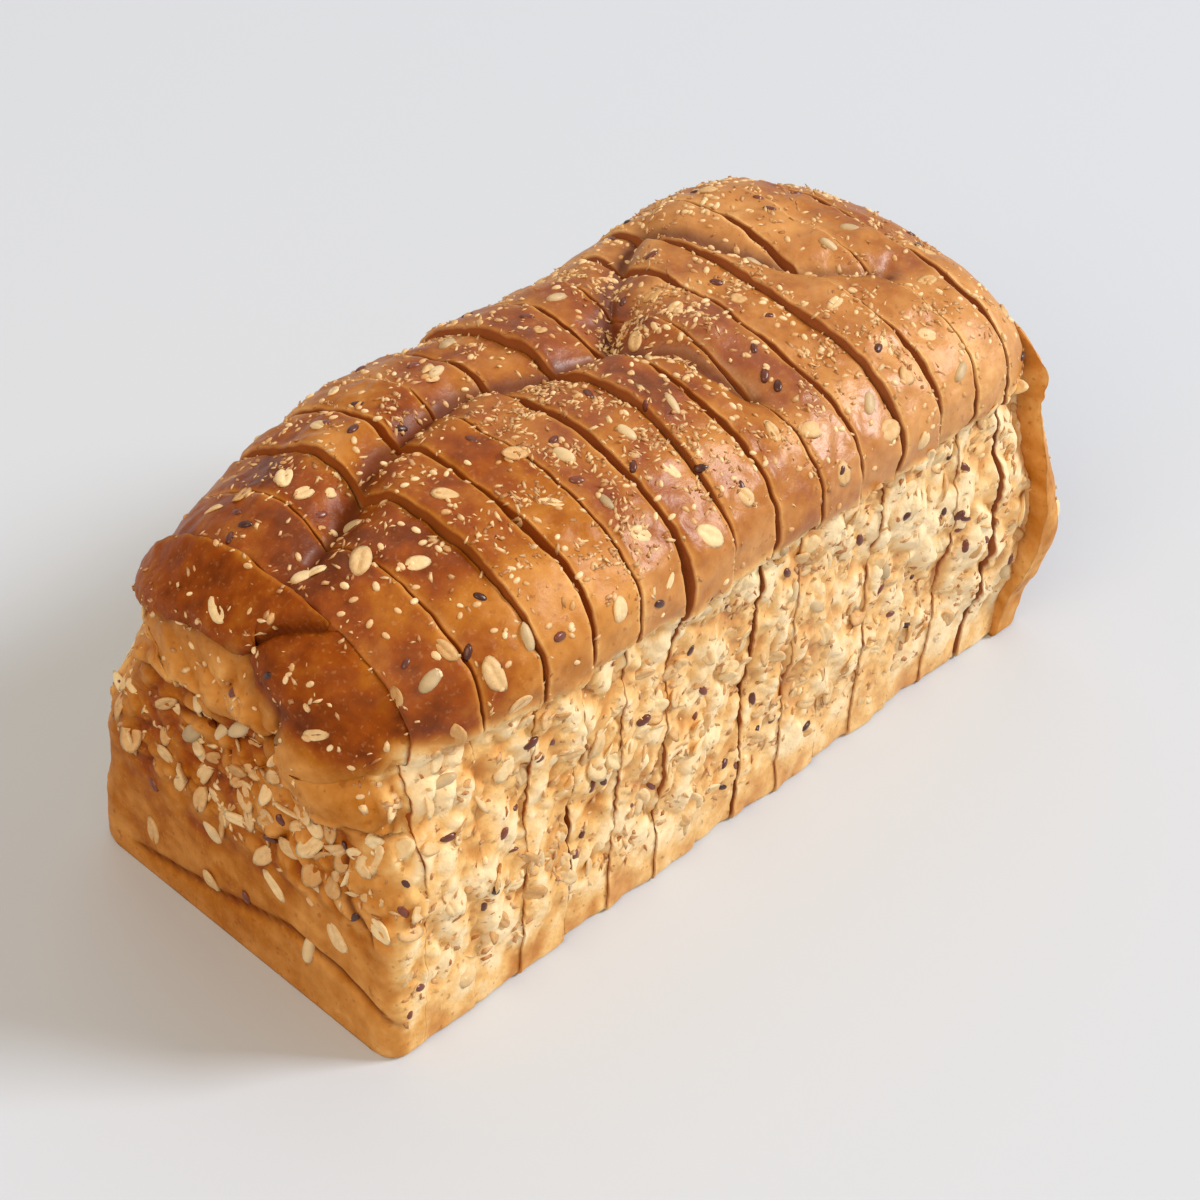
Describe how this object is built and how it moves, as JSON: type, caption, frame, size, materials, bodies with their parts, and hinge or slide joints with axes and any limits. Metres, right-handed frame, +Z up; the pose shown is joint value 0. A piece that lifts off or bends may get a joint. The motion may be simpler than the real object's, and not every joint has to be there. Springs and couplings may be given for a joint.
{
  "type": "multigrain bread loaf",
  "caption": "sliced multigrain tin loaf standing on its flat base, its slices and two heels still in the loaf's shape, with a folded domed crust and grains and flakes all over",
  "frame": {"origin": "on the surface that the loaf stands on, in the middle of its box", "axes": "+X along the loaf from the front heel to the back heel, +Y to its left side as seen from the front heel, +Z up"},
  "size_m": [0.2298, 0.1104, 0.1138],
  "materials": {
    "crust": "satin"
  },
  "bodies": {
    "root": {"heel_front": "crust", "slice_01": "crust", "slice_02": "crust", "slice_03": "crust", "slice_04": "crust", "slice_05": "crust", "slice_06": "crust", "slice_07": "crust", "slice_08": "crust", "slice_09": "crust", "slice_10": "crust", "slice_11": "crust", "slice_12": "crust", "slice_13": "crust", "slice_14": "crust", "heel_back": "crust"}
  },
  "joints": []
}
